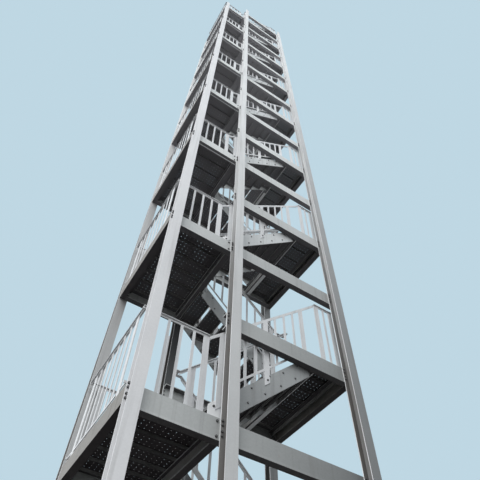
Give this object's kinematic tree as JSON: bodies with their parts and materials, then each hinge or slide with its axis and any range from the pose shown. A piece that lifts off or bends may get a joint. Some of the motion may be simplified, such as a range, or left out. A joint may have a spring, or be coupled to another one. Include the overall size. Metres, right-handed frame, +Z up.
{
  "type": "fire escape stair tower",
  "caption": "Galvanised steel fire escape stair tower: an open frame of wide-flange posts around a switchback stair with folded treads, planked landings and flat-bar railings.",
  "frame": {"origin": "underside of the front left post's base plate, at its middle, on the ground", "axes": "+X to the right along the front, +Y from the front to the back, +Z up"},
  "size_m": [2.855, 1.98, 26.28],
  "materials": {
    "frame_steel": "weathered galvanised, matt",
    "sheet_steel": "galvanised perforated sheet, matt",
    "flight_steel": "weathered galvanised, matt",
    "rail_steel": "galvanised, satin"
  },
  "bodies": {
    "root": {"base_plates": "frame_steel", "front_left_post": "frame_steel", "front_mid_post": "frame_steel", "front_right_post": "frame_steel", "back_left_post": "frame_steel", "back_mid_post": "frame_steel", "back_right_post": "frame_steel", "front_channels": "frame_steel", "back_channels": "frame_steel", "left_side_channels": "frame_steel", "right_side_channels": "frame_steel", "left_landing_beams": "frame_steel", "right_landing_beams": "frame_steel", "left_ledgers": "frame_steel", "right_ledgers": "frame_steel", "left_landing_planks": "sheet_steel", "right_landing_planks": "sheet_steel", "near_flight_1": "flight_steel", "near_flight_2": "flight_steel", "near_flight_3": "flight_steel", "near_flight_4": "flight_steel", "near_flight_5": "flight_steel", "near_flight_6": "flight_steel", "near_flight_7": "flight_steel", "near_flight_8": "flight_steel", "near_flight_9": "flight_steel", "far_flight_1": "flight_steel", "far_flight_2": "flight_steel", "far_flight_3": "flight_steel", "far_flight_4": "flight_steel", "far_flight_5": "flight_steel", "far_flight_6": "flight_steel", "far_flight_7": "flight_steel", "far_flight_8": "flight_steel", "far_flight_9": "flight_steel", "left_front_railings": "rail_steel", "left_back_railings": "rail_steel", "left_side_railings": "rail_steel", "right_front_railings": "rail_steel", "right_back_railings": "rail_steel", "near_outer_railings": "rail_steel", "near_inner_railings": "rail_steel", "far_outer_railings": "rail_steel", "far_inner_railings": "rail_steel", "rail_returns": "rail_steel", "top_guard_railing": "rail_steel"}
  },
  "joints": []
}
